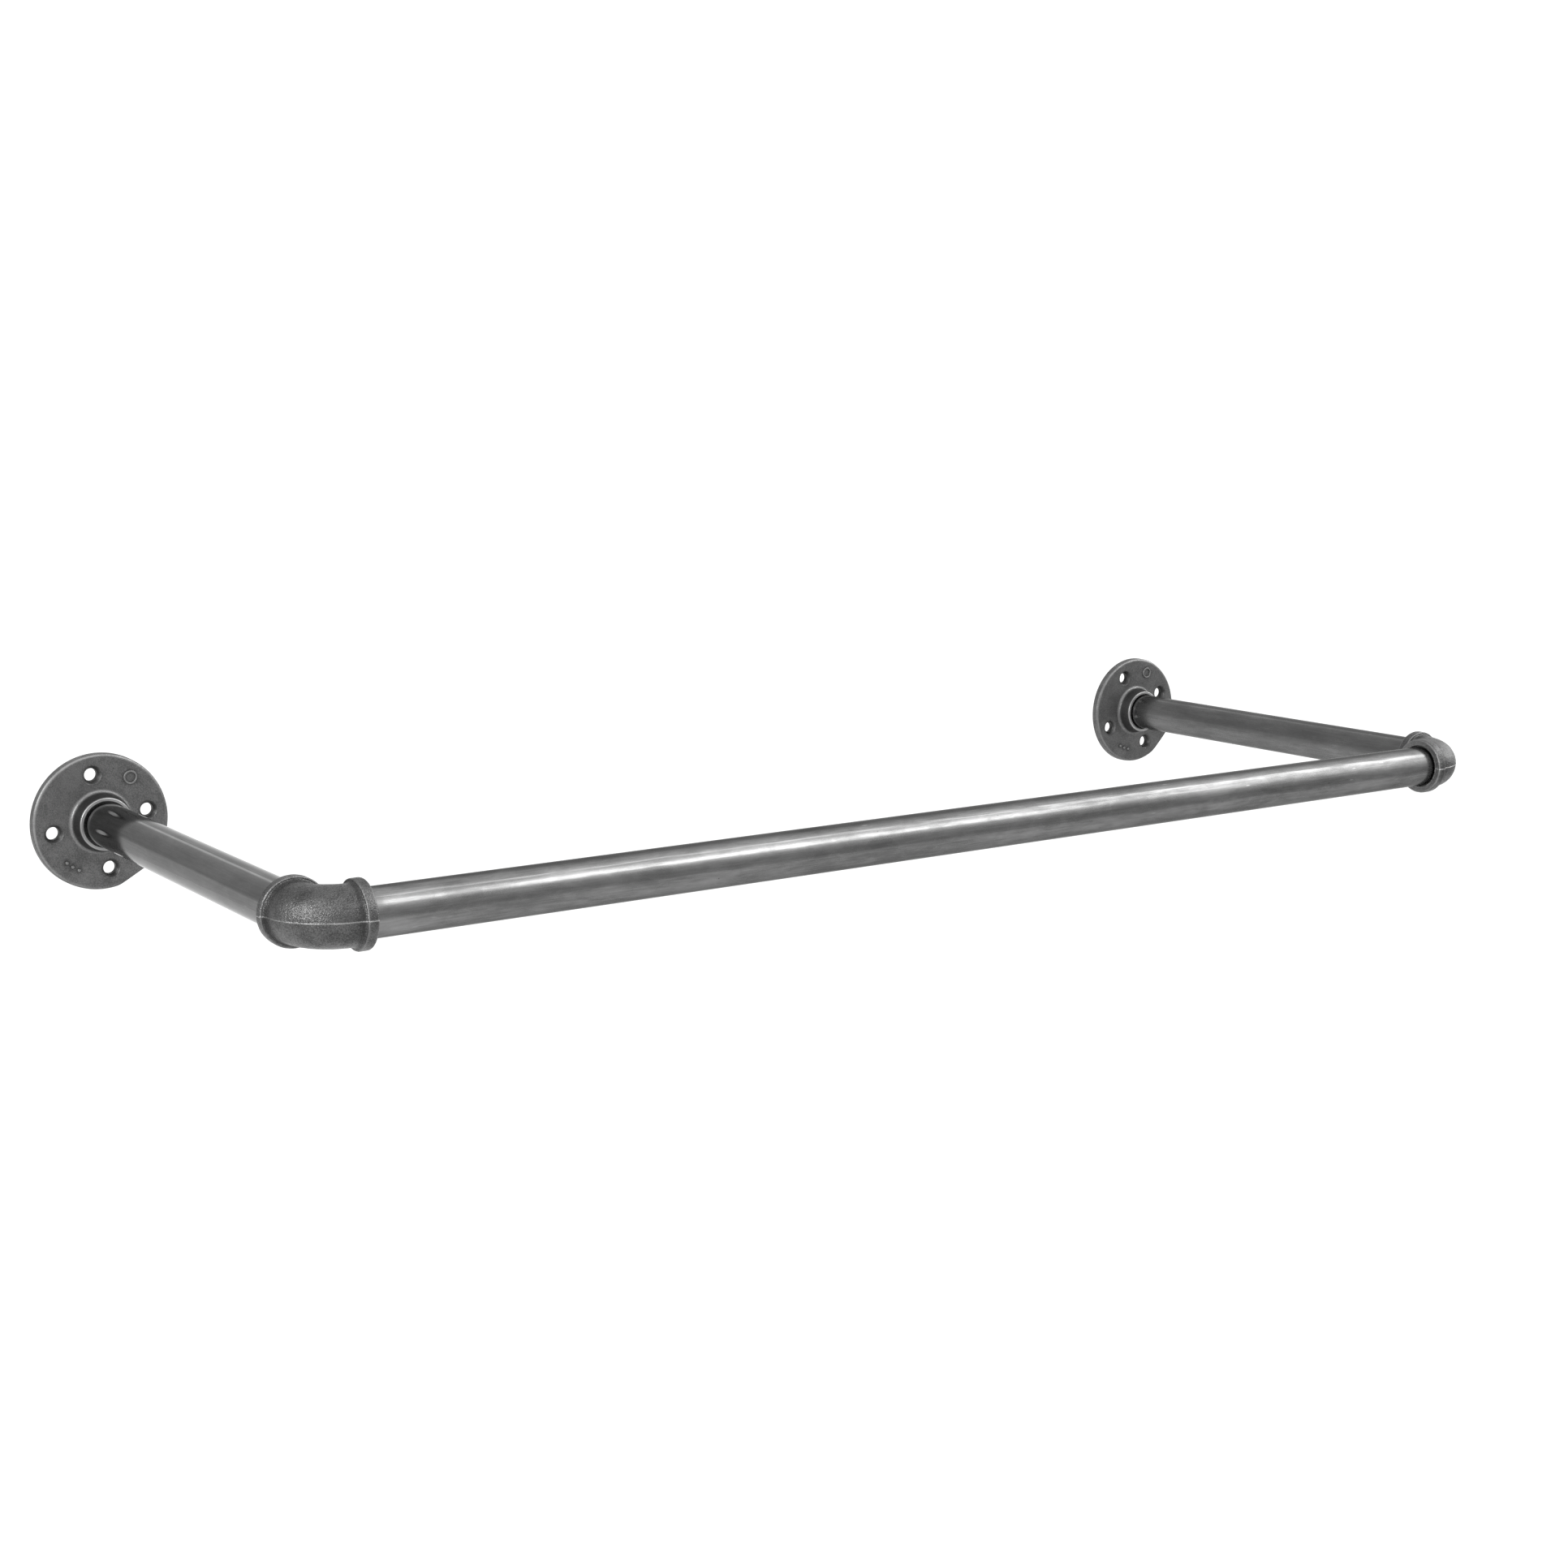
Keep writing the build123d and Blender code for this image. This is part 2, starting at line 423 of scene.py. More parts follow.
# %% The whole flange
def flange(name, centre):
    """Wall flange with its wall face on the wall and its hub towards the room."""
    foot = mouth_radius + HUB_FOOT_WALL
    face = mouth_radius + HUB_FACE_WALL
    slope = math.atan2(hub_height - PLATE_THICKNESS, foot - face)
    front_outer = flange_radius - PLATE_EDGE_RADIUS
    front_inner = foot + HUB_FOOT_FILLET * math.tan(slope / 2)
    back_outer = flange_radius - PLATE_BACK_RADIUS
    thread_end = seat_radius - (hub_height - MOUTH_DEPTH) * THREAD_TAPER
    rim = rounded_outline(
        [
            (back_outer, 0),
            (flange_radius, 0, PLATE_BACK_RADIUS),
            (flange_radius, PLATE_THICKNESS, PLATE_EDGE_RADIUS),
            (front_outer, PLATE_THICKNESS),
        ],
        SKIN_SPACING,
        closed=False,
    )
    hub = rounded_outline(
        [
            (front_inner, PLATE_THICKNESS),
            (foot, PLATE_THICKNESS, HUB_FOOT_FILLET),
            (face, hub_height, HUB_RIM_RADIUS),
            (mouth_radius, hub_height, SMALL_ROUNDING),
            (mouth_radius, hub_height - MOUTH_DEPTH),
            (seat_radius, hub_height - MOUTH_DEPTH),
            (thread_end, 0),
        ],
        SKIN_SPACING,
        closed=False,
    )
    turn = FLANGE_TURN[name]
    angles = full_turn(4 * ARC_STEPS, math.radians(turn - 45))
    grids = [(turned(rim, angles), True, False), (turned(hub, angles), True, False)]
    grids += plate_grids(turn, front_outer, front_inner, back_outer, thread_end)
    placed = [(out_of_wall(points) + centre, rows, columns) for points, rows, columns in grids]
    return mesh_object(name + "_casting", placed)


left_flange = flange("left_flange", [0, 0, 0])
right_flange = flange("right_flange", [right_axis_x, 0, 0])

# %% [markdown]
# ## Elbows
#
# An elbow's wall, cut along its length, is one closed outline of (distance along the bend,
# radius): band, sloping foot, body, band again, and back through the passage. That outline is
# carried round the bent centre line. Where the two halves of the sand mould met, the casting
# has a thin ridge in its middle plane, so the radius also depends on the angle round the tube.

# %% Elbow outline
ELBOW_STEPS = 176
NEAR_RIDGE = np.array([0.12, 0.25, 0.4, 0.6, 0.85]) * MM
RIDGE_WAVER_SIZE = 5 * MM
FOOT_ROUNDING = 0.8 * MM


def elbow_outline():
    """Closed (distance, radius) outline of an elbow's wall, from one mouth to the other."""
    length = 2 * BAND_WIDTH + bend_radius * np.pi / 2
    seat_end = seat_radius - (BAND_WIDTH - MOUTH_DEPTH) * THREAD_TAPER
    half = [
        (0, mouth_radius, SMALL_ROUNDING),
        (0, band_radius, BAND_MOUTH_RADIUS),
        (BAND_WIDTH, band_radius, BAND_BACK_RADIUS),
        (BAND_WIDTH, BODY_RADIUS + FOOT_HEIGHT, SMALL_ROUNDING),
        (BAND_WIDTH + FOOT_WIDTH, BODY_RADIUS, FOOT_ROUNDING),
    ]
    inside = [
        (BAND_WIDTH + FOOT_WIDTH, PASSAGE_RADIUS),
        (BAND_WIDTH, seat_end),
        (MOUTH_DEPTH, seat_radius),
        (MOUTH_DEPTH, mouth_radius),
    ]
    far_half = [(length - corner[0],) + tuple(corner[1:]) for corner in half[::-1]]
    far_inside = [(length - corner[0],) + tuple(corner[1:]) for corner in inside[::-1]]
    return rounded_outline(half + far_half + far_inside + inside, SKIN_SPACING)

# %% Carry it along the bend
def angles_with_ridge():
    """Angles round the tube, evenly spaced and closer together at the two moulding ridges."""
    near = NEAR_RIDGE / BODY_RADIUS
    close = np.concatenate([-near, near])
    both = np.concatenate([full_turn(ELBOW_STEPS), close, close + np.pi]) % (2 * np.pi)
    return np.unique(np.round(both, 6))


def along_bend(distance, radius, angle):
    """Points at a distance along the centre line, a radius from it and an angle round it.

    The line runs in along X, turns a quarter circle and runs out along Y. Its outward normal
    n turns from -Y to -X, and a point is line + radius * (cos(angle) * n + sin(angle) * Z).
    """
    bend = np.clip((distance - BAND_WIDTH) / bend_radius, 0, np.pi / 2)
    before = np.clip(BAND_WIDTH - distance, 0, None)
    after = np.clip(distance - BAND_WIDTH - bend_radius * np.pi / 2, 0, None)
    normal_x, normal_y = -np.sin(bend), -np.cos(bend)
    line_x = bend_radius * (1 + normal_x) + before
    line_y = bend_radius * (1 + normal_y) + after
    out = radius * np.cos(angle)
    up = radius * np.sin(angle) + 0 * distance
    return np.stack([line_x + out * normal_x, line_y + out * normal_y, up], -1)


def elbow(name, turn_round, seed):
    """Elbow laid by turn_round(points), with a moulding ridge of uneven height.

    The ridge adds ridge_height * a noise along it * a bell curve across it to the radius.
    """
    outline = elbow_outline()
    angle = angles_with_ridge()[:, None]
    distance, radius = outline[None, :, 0], outline[None, :, 1]
    across = BODY_RADIUS * abs(np.sin(angle))
    on_line = np.zeros((len(outline), 3))
    on_line[:, 0] = outline[:, 0]
    waver = 0.55 + 0.45 * noise(on_line, RIDGE_WAVER_SIZE, seed)
    crest = ridge_height * waver[None] * peak(across, 0, RIDGE_HALF_WIDTH)
    outside = radius > mouth_radius + 0.6 * MM
    points = along_bend(distance, radius + crest * outside, angle)
    corner = np.array([0, rail_y, 0])
    return mesh_object(name + "_casting", [(turn_round(points) + corner, True, True)])


def as_left(points):
    """The left elbow's mouths face +X and +Y, as drawn."""
    return points


def as_right(points):
    """A quarter turn about Z and a move along the wall: (x, y, z) becomes (X - y, x, z)."""
    return np.stack([right_axis_x - points[..., 1], points[..., 0], points[..., 2]], -1)


left_elbow = elbow("left_elbow", as_left, seed=1)
right_elbow = elbow("right_elbow", as_right, seed=2)

# %% [markdown]
# ## The skin of a sand casting
#
# Sand leaves its grain in iron, and a casting is never quite round or flat. Moving the points of
# the fine meshes along their normals gives both, and it shows in the outline, where a bump map
# can't. Points only ever move inwards, so that the casting stays inside its drawn size, and the
# wall face, the threads and the mouths don't move at all. A plain chord on each flange's edge is
# where the iron ran into the mould and was ground off.

# %% Uneven skin
WAVE_DEPTH = 0.16 * MM
WAVE_SIZE = 11 * MM
GRAIN_SIZE = 1.3 * MM
GATE_ANGLE = -69  # degrees from the first screw hole
GATE_DEPTH = 2.0 * MM
MARK_CIRCLE = 32 * MM
RING_RADIUS = 3.7 * MM
LINE_WIDTH = 1.3 * MM
DOT_RADIUS = 1.1 * MM
RING_TURN = 45  # degrees past the first screw hole
DOTS_TURN = 225
DOT_GAP_DEGREES = 8
SKIN_MARGIN = 0.4 * MM  # this close to the wall or to a mouth nothing moves


def mark_places(turn):
    """The ring and the three dots round the hub, as (angle in degrees, radius) pairs."""
    dots = [(turn + DOTS_TURN + step * DOT_GAP_DEGREES, DOT_RADIUS) for step in (-1, 0, 1)]
    return [(turn + RING_TURN, RING_RADIUS)] + dots


def roughen(piece, movable, grain_depth, seed):
    """Moves points inwards by wave + grain, each a smooth noise, where movable is 1."""
    points = vertex_array(piece)
    normals = vertex_array(piece, "normal")
    wave = noise(points, WAVE_SIZE, seed)
    grain = noise(points, GRAIN_SIZE, seed + 1)
    depth = movable * (WAVE_DEPTH * wave + grain_depth * grain)
    move_vertices(piece, points - normals * depth[:, None])

# %% Ground and rubbed places of a flange, its painted highlights and painted shade
FLANGE_GRAIN_DEPTH = 0.05 * MM
FLANGE_PATCH_SIZE = 6 * MM
LIT_SIDE_ANGLE = 125  # degrees, the lit side of each flange, painted brighter at its edge and hub foot
# The foot's share is a painted highlight, a bright ring on the hub's foot fillet.
EDGE_WEAR, FOOT_HIGHLIGHT, RIM_WEAR = 0.7, 0.3, 0.9
# How dark the painted shade is on the hub's side, in the screw holes and round the marks.
HUB_SHADE, HOLE_SHADE, MARK_OUTLINE_SHADE = 0.75, 0.8, 0.6
FRONT_OF_PLATE = 4 * MM  # height above the wall past which a point is on the front
HUB_SHADE_START = 6.4 * MM  # height where the painted shade on the hub's side begins
HUB_SHADE_FADE = 1.6 * MM
UNSHADED_RIM = 0.7 * MM


def grind_gate(points, name, centre_x):
    """The points with those past a chord of the flange's edge moved straight back to it."""
    gate = math.radians(FLANGE_TURN[name] + GATE_ANGLE)
    gate_direction = np.array([math.cos(gate), 0, math.sin(gate)])
    reach = (points - [centre_x, 0, 0]) @ gate_direction
    beyond = np.clip(reach - (flange_radius - GATE_DEPTH), 0, None)
    return points - beyond[:, None] * gate_direction


def flange_wear_and_highlight(points, radius, height, centre_x, seed):
    """0 to 1 of scuffed iron and painted highlight: plate edge, hub foot and hub rim."""
    patchy = 0.45 + 0.55 * noise(points, FLANGE_PATCH_SIZE, seed)
    angle = np.arctan2(points[:, 2], points[:, 0] - centre_x)
    # The plate edge and the hub's foot are painted brighter towards the lit side, as a highlight.
    lit_side = 0.55 + 0.45 * np.cos(angle - math.radians(LIT_SIDE_ANGLE))
    hub_foot = mouth_radius + HUB_FOOT_WALL
    plate_edge = peak(radius, flange_radius - 1.3 * MM, 0.6 * MM) * (height > 4.6 * MM)
    foot = peak(radius, hub_foot + 0.9 * MM, 0.8 * MM) * (height > FRONT_OF_PLATE)
    rim = peak(height, hub_height, 0.7 * MM) * (radius > mouth_radius)
    return (EDGE_WEAR * plate_edge * lit_side + FOOT_HIGHLIGHT * foot * lit_side + RIM_WEAR * rim) * patchy


def flange_painted_shade(points, radius, height, name, centre_x):
    """0 to 1 of painted shade: the hub's side, the screw holes, round the marks."""
    # The hub's side, the screw holes' countersinks and a ring round each mark are painted darker,
    # as shade.
    above_foot = np.clip((height - HUB_SHADE_START) / HUB_SHADE_FADE, 0, 1)
    below_rim = np.clip((hub_height - UNSHADED_RIM - height) / UNSHADED_RIM, 0, 1)
    hub_side = above_foot * below_rim * (radius > mouth_radius)
    turns = full_turn(4, math.radians(FLANGE_TURN[name]))
    hole_x = centre_x + screw_circle_radius * np.cos(turns)
    hole_z = screw_circle_radius * np.sin(turns)
    to_hole = np.hypot(points[:, :1] - hole_x, points[:, 2:] - hole_z).min(1)
    in_hole = peak(to_hole, screw_hole_radius, COUNTERSINK_LIP)
    round_marks = np.zeros(len(points))
    for degrees, size in mark_places(FLANGE_TURN[name]):
        mark_x = centre_x + MARK_CIRCLE * math.cos(math.radians(degrees))
        mark_z = MARK_CIRCLE * math.sin(math.radians(degrees))
        to_mark = np.hypot(points[:, 0] - mark_x, points[:, 2] - mark_z)
        round_marks = np.maximum(round_marks, peak(to_mark, size, 1.2 * MM))
    round_marks *= height > FRONT_OF_PLATE
    return HUB_SHADE * hub_side + HOLE_SHADE * in_hole + MARK_OUTLINE_SHADE * round_marks

# %% Flange skin
def finish_flange(piece, name, centre_x, seed):
    """Ground gate, cast skin, scuffed iron with painted highlights, and painted shade."""
    points = grind_gate(vertex_array(piece), name, centre_x)
    move_vertices(piece, points)
    radius = np.hypot(points[:, 0] - centre_x, points[:, 2])
    height = -points[:, 1]
    movable = (height > SKIN_MARGIN) * (radius > mouth_radius + SKIN_MARGIN)
    roughen(piece, movable, FLANGE_GRAIN_DEPTH, seed)
    wear_and_highlight = flange_wear_and_highlight(points, radius, height, centre_x, seed + 2)
    painted_shade = flange_painted_shade(points, radius, height, name, centre_x)
    set_attribute(piece, "wear_and_highlight", np.clip(wear_and_highlight, 0, 1))
    set_attribute(piece, "painted_shade", np.clip(painted_shade, 0, 1))
    print(name, "wear %.2f and grime %.2f on average" % (wear_and_highlight.mean(), painted_shade.mean()))


finish_flange(left_flange, "left_flange", 0, seed=3)
finish_flange(right_flange, "right_flange", right_axis_x, seed=6)

# %% Places on an elbow
def elbow_places(points, lay):
    """Where each point of an elbow lies, as (along, to_band, radius).

    along is the distance out along a leg from the end of the bend, and 0 on the bend itself.
    to_band is the distance along the bend to its nearer end. radius is from the centre line.
    """
    middle = lay(np.array([bend_radius, bend_radius, 0.0])) + [0, rail_y, 0]
    legs = lay(np.array([[1.0, 0, 0], [0, 1.0, 0]])) - lay(np.zeros((1, 3)))
    flat = points[:, :2] - middle[:2]
    first, second = flat @ legs[0, :2], flat @ legs[1, :2]
    along = np.clip(np.maximum(first, second), 0, None)
    to_band = bend_radius * np.minimum(np.arctan2(-first, -second), np.arctan2(-second, -first))
    leg_gap = np.minimum(first, second) + bend_radius
    bend_gap = np.hypot(flat[:, 0], flat[:, 1]) - bend_radius
    radius = np.hypot(np.where(along > 0, leg_gap, bend_gap), points[:, 2])
    return along, to_band, radius

# %% Elbow skin
ELBOW_GRAIN_DEPTH = 0.11 * MM
ELBOW_PATCH_SIZE = 4 * MM
DIMPLE_RADIUS = 1.1 * MM
DIMPLE_DEPTH = 0.35 * MM
DIMPLE_ANGLE = 96  # degrees round the tube, from the outside of the bend
BAND_WEAR = 0.4
CUT_FACE_WEAR = 0.25
CREASE_SHADE = 0.6


def finish_elbow(piece, lay, seed):
    """Cast skin, a small dimple inside the bend, scuffed iron, and painted shade in creases."""
    along, to_band, radius = elbow_places(vertex_array(piece), lay)
    movable = (radius > mouth_radius + SKIN_MARGIN).astype(float)
    roughen(piece, movable, ELBOW_GRAIN_DEPTH, seed)
    points = vertex_array(piece)
    dimple_along = BAND_WIDTH + 0.62 * bend_radius
    dimple = lay(along_bend(dimple_along, BODY_RADIUS, math.radians(DIMPLE_ANGLE)))
    away = np.linalg.norm(points - (dimple + [0, rail_y, 0]), axis=1)
    depth = movable * DIMPLE_DEPTH * peak(away, 0, DIMPLE_RADIUS)
    points -= vertex_array(piece, "normal") * depth[:, None]
    move_vertices(piece, points)
    patchy = 0.3 + 0.7 * noise(points, ELBOW_PATCH_SIZE, seed + 2)
    ridge = peak(points[:, 2], 0, RIDGE_HALF_WIDTH)
    mouth_edge = peak(along, BAND_WIDTH - 0.5 * MM, 0.6 * MM) * (radius > band_radius - 1.2 * MM)
    back_edge = peak(along, 0.3 * MM, 0.6 * MM) * (radius > band_radius - 1.0 * MM)
    cut_face = peak(along, BAND_WIDTH, 0.4 * MM) * (radius > mouth_radius - 0.1 * MM)
    cast_wear = movable * (ridge + BAND_WEAR * mouth_edge + BAND_WEAR * back_edge) * patchy
    wear_and_highlight = cast_wear + CUT_FACE_WEAR * cut_face
    # Painted shade: the body is painted darker in the crease beside each band's foot.
    crease = peak(to_band, 0.9 * MM, 0.9 * MM) * (radius < BODY_RADIUS + FOOT_HEIGHT) * movable
    set_attribute(piece, "wear_and_highlight", np.clip(wear_and_highlight, 0, 1))
    set_attribute(piece, "painted_shade", CREASE_SHADE * crease * (along == 0))
    print(piece.name, "wear %.2f on average" % wear_and_highlight.mean())


finish_elbow(left_elbow, as_left, seed=9)
finish_elbow(right_elbow, as_right, seed=12)

# %% [markdown]
# ## Foundry marks
#
# A casting carries a raised mark beside its screw holes. Here it is as plain as can be: a ring on
# one side of the hub and three dots on the other, each a small turned outline sunk a little into
# the plate.

# %% Ring and dots
MARK_HEIGHT = 0.9 * MM
MARK_SINK = 0.3 * MM
MARK_SPACING = 0.2 * MM
MARK_WEAR = 0.3
SKIN_LOSS = 0.12 * MM  # about how far the wavy skin lies below the drawn plate
RING_TOP_SHARE, DOT_TOP_SHARE = 0.7, 0.8


def mark(name, turn, centre_x):
    """Raised ring beside the first screw hole, and three dots opposite, as one mesh."""
    top = PLATE_THICKNESS - SKIN_LOSS + MARK_HEIGHT
    sunk = PLATE_THICKNESS - MARK_SINK
    half = LINE_WIDTH / 2
    ring = [
        (RING_RADIUS - half, sunk),
        (RING_RADIUS + half, sunk),
        (RING_RADIUS + half * RING_TOP_SHARE, top, 0.25 * MM),
        (RING_RADIUS - half * RING_TOP_SHARE, top, 0.25 * MM),
    ]
    dot = [(0, sunk), (DOT_RADIUS, sunk), (DOT_TOP_SHARE * DOT_RADIUS, top, 0.3 * MM), (0, top)]
    ring_grid = turned(rounded_outline(ring, MARK_SPACING), full_turn(48))
    dot_grid = turned(rounded_outline(dot, MARK_SPACING, closed=False), full_turn(24))
    shapes = [(ring_grid, True)] + 3 * [(dot_grid, False)]  # a dot's outline stays open
    grids = []
    for (degrees, _), (grid, closed) in zip(mark_places(turn), shapes):
        angle = math.radians(degrees)
        shift = MARK_CIRCLE * np.array([math.cos(angle), math.sin(angle), 0])
        grids.append((out_of_wall(grid + shift) + [centre_x, 0, 0], True, closed))
    return mesh_object(name, grids, merge=MERGE_DISTANCE / 4)


left_mark = mark("left_flange_mark", FLANGE_TURN["left_flange"], 0)
right_mark = mark("right_flange_mark", FLANGE_TURN["right_flange"], right_axis_x)
for piece in (left_mark, right_mark):
    set_attribute(piece, "wear_and_highlight", np.full(len(piece.data.vertices), MARK_WEAR))

# %% [markdown]
# ## Finishes
#
# Two small functions do the wiring: one turns a hex colour to linear light, and one adds a node
# with its settings and links. Every pattern reads Object coordinates, in metres, so that a scale
# of 1 / size gives a pattern of that size on the metal. In a colour Mix the sockets 6 and 7 are
# its two colours and output 2 is the result; in a Mix of numbers they are 2, 3 and 0.

# %% Colour and node helpers
def linear(hex_colour):
    """Linear (r, g, b, 1) of an sRGB hex colour: v / 12.92, or ((v + 0.055) / 1.055)^2.4."""
    values = [int(hex_colour[i : i + 2], 16) / 255 for i in (0, 2, 4)]
    return [v / 12.92 if v <= 0.04045 else ((v + 0.055) / 1.055) ** 2.4 for v in values] + [1.0]


def add(tree, kind, inputs=None, stops=(), **settings):
    """Adds a node. inputs maps a socket to a value or to the socket that feeds it."""
    made = tree.nodes.new("ShaderNode" + kind)
    for name, value in settings.items():
        setattr(made, name, value)
    for socket, value in (inputs or {}).items():
        if isinstance(value, bpy.types.NodeSocket):
            tree.links.new(value, made.inputs[socket])
        else:
            made.inputs[socket].default_value = value
    for index, (position, colour) in enumerate(stops):
        elements = made.color_ramp.elements
        element = elements[index] if index < 2 else elements.new(position)
        element.position = position
        element.color = colour
    return made


def new_material(name):
    """Material with a Principled shader, as (material, its tree, its shader)."""
    material = bpy.data.materials.new(name)
    material.use_nodes = True
    return material, material.node_tree, material.node_tree.nodes["Principled BSDF"]

# %% [markdown]
# ### Welded and drawn steel tube
#
# The tube is rolled from strip, welded, drawn to size and left bare under a thin clear lacquer.
# The eye gets a rather glossy grey metal with fine lines along the tube, cloudy patches and
# smears from the mill, a few dark specks and short bright scratches. A noise whose places are
# shrunk to 3 hundredths along the tube gives the lines, and the lacquer is the shader's own coat.

# %% Patterns of the steel
LINE_SPACING = 0.9 * MM
CLOUD_SIZE = 16 * MM
SMEAR_SIZE = 5 * MM
SPECK_SPACING = 17 * MM
SCRATCH_SPACING = 5 * MM
LINE_STRETCH = 0.03
SMEAR_STRETCH = 0.3
SCRATCH_STRETCH = 0.15
SCRATCH_SLANT = 0.12  # radians
CLOUD_SHARE, SMEAR_SHARE, LINE_SHARE = 0.5, 0.26, 0.22
TONE_PLACES = (0.15, 0.5, 0.85)
WELD_BRIGHTNESS = 0.45
SCRATCH_BRIGHTNESS = 0.7
STEEL_RELIEF = 0.012 * MM
DARK_SPECK, BARE_STEEL = "2b2b2b", "b4b4b4"
LACQUER_WEIGHT, LACQUER_ROUGHNESS = 0.2, 0.08


def stretched(axis, stretch):
    """Scale of a pattern that is drawn out along one axis, 1 along the others."""
    return [stretch if i == axis else 1.0 for i in range(3)]


def mill_patterns(tree, place, axis):
    """Clouds, smears and lines from the mill: (their mixture, smears, lines, raw lines)."""
    line_scale, smear_scale = stretched(axis, LINE_STRETCH), stretched(axis, SMEAR_STRETCH)
    line_place = add(tree, "Mapping", {"Vector": place, "Scale": line_scale}).outputs[0]
    smear_place = add(tree, "Mapping", {"Vector": place, "Scale": smear_scale}).outputs[0]
    lines = add(tree, "TexNoise", {"Vector": line_place, "Scale": 1 / LINE_SPACING, "Detail": 3.0})
    clouds = add(
        tree,
        "TexNoise",
        {"Vector": smear_place, "Scale": 1 / CLOUD_SIZE, "Detail": 5.0, "Roughness": 0.6},
    )
    smears = add(
        tree,
        "TexNoise",
        {
            "Vector": smear_place,
            "Scale": 1 / SMEAR_SIZE,
            "Detail": 4.0,
            "Roughness": 0.7,
            "Distortion": 0.8,
        },
    )
    cloudy, smeary, line = (
        add(tree, "MapRange", {"Value": noisy.outputs[0], "From Min": low, "From Max": high})
        for noisy, low, high in ((clouds, 0.35, 0.65), (smears, 0.38, 0.68), (lines, 0.35, 0.65))
    )
    mixed = 0.0
    for pattern, share in ((cloudy, CLOUD_SHARE), (smeary, SMEAR_SHARE), (line, LINE_SHARE)):
        terms = {0: pattern.outputs[0], 1: share, 2: mixed}
        mixed = add(tree, "Math", terms, operation="MULTIPLY_ADD").outputs[0]
    return mixed, smeary.outputs[0], line.outputs[0], lines.outputs[0]


def bright_marks(tree, place, axis, smeary, line):
    """Short scratches where the steel is smeared, and a faint line along the weld, 0 to 1."""
    slanted = add(
        tree,
        "Mapping",
        {
            "Vector": place,
            "Rotation": (SCRATCH_SLANT,) * 3,
            "Scale": stretched(axis, SCRATCH_STRETCH),
        },
    )
    strokes = add(tree, "TexVoronoi", {"Vector": slanted.outputs[0], "Scale": 1 / SCRATCH_SPACING})
    stroke = add(
        tree,
        "MapRange",
        {
            "Value": strokes.outputs["Distance"],
            "From Min": 0.04,
            "From Max": 0.08,
            "To Min": SCRATCH_BRIGHTNESS,
            "To Max": 0.0,
        },
    )
    scratch = add(tree, "Math", {0: stroke.outputs[0], 1: smeary}, operation="MULTIPLY")
    weld = add(tree, "Attribute", attribute_name="weld").outputs["Fac"]
    faint = add(tree, "Math", {0: line, 1: WELD_BRIGHTNESS}, operation="MULTIPLY")
    seam = add(tree, "Math", {0: weld, 1: faint.outputs[0]}, operation="MULTIPLY")
    both = add(tree, "Math", {0: scratch.outputs[0], 1: seam.outputs[0]}, operation="MAXIMUM")
    return both.outputs[0]

# %% Pipe steel
def pipe_steel(name, axis, tones, dull, glossy, edge):
    """Drawn and lacquered steel tube whose length runs along the axis 0, 1 or 2.

    tones are the hex colours of its dark, middle and light patches; dull and glossy are the
    roughness of the dark and of the light ones; edge tints what is seen at a flat angle.
    """
    material, tree, shader = new_material(name)
    place = add(tree, "TexCoord").outputs["Object"]
    mixed, smeary, line, raw_line = mill_patterns(tree, place, axis)
    bright = bright_marks(tree, place, axis, smeary, line)
    stops = [(share, linear(hex_tone)) for share, hex_tone in zip(TONE_PLACES, tones)]
    tone = add(tree, "ValToRGB", {"Fac": mixed}, stops=stops)
    specks = add(tree, "TexVoronoi", {"Vector": place, "Scale": 1 / SPECK_SPACING})
    off_speck = add(
        tree,
        "MapRange",
        {"Value": specks.outputs["Distance"], "From Min": 0.012, "From Max": 0.03},
    )
    spotted = add(
        tree,
        "Mix",
        {"Factor": off_speck.outputs[0], 6: linear(DARK_SPECK), 7: tone.outputs[0]},
        data_type="RGBA",
    )
    marked = add(
        tree,
        "Mix",
        {"Factor": bright, 6: spotted.outputs[2], 7: linear(BARE_STEEL)},
        data_type="RGBA",
    )
    rough = add(
        tree,
        "MapRange",
        {"Value": mixed, "From Min": 0.2, "From Max": 0.8, "To Min": dull, "To Max": glossy},
    )
    height = add(tree, "Math", {0: bright, 1: -0.8, 2: raw_line}, operation="MULTIPLY_ADD")
    relief = add(
        tree,
        "Bump",
        {"Height": height.outputs[0], "Distance": STEEL_RELIEF, "Strength": 0.5},
    )
    tree.links.new(marked.outputs[2], shader.inputs["Base Color"])
    tree.links.new(rough.outputs[0], shader.inputs["Roughness"])
    tree.links.new(relief.outputs[0], shader.inputs["Normal"])
    shader.inputs["Metallic"].default_value = 1.0
    shader.inputs["Specular Tint"].default_value = linear(edge)
    shader.inputs["Coat Weight"].default_value = LACQUER_WEIGHT
    shader.inputs["Coat Roughness"].default_value = LACQUER_ROUGHNESS
    print(name, len(tree.nodes), "nodes")
    return material


# The three pipes are one steel. The left pipe's copy has lighter tones and edge tint than the
# rail's, and the right pipe's darker tones, as painted light and painted shade.
rail_steel = pipe_steel(
    "drawn_steel_rail", 0, ("5c5c5c", "6e6e6e", "7e7e7e"), dull=0.29, glossy=0.22, edge="a0a0a0"
)
left_steel_painted_lighter = pipe_steel(
    "drawn_steel_left_painted_lighter", 1, ("676767", "727272", "7d7d7d"), dull=0.13, glossy=0.08, edge="d4d4d4"
)
right_steel_painted_darker = pipe_steel(
    "drawn_steel_right_painted_darker", 1, ("5a5a5a", "666666", "737373"), dull=0.32, glossy=0.24, edge="b8b8b8"
)

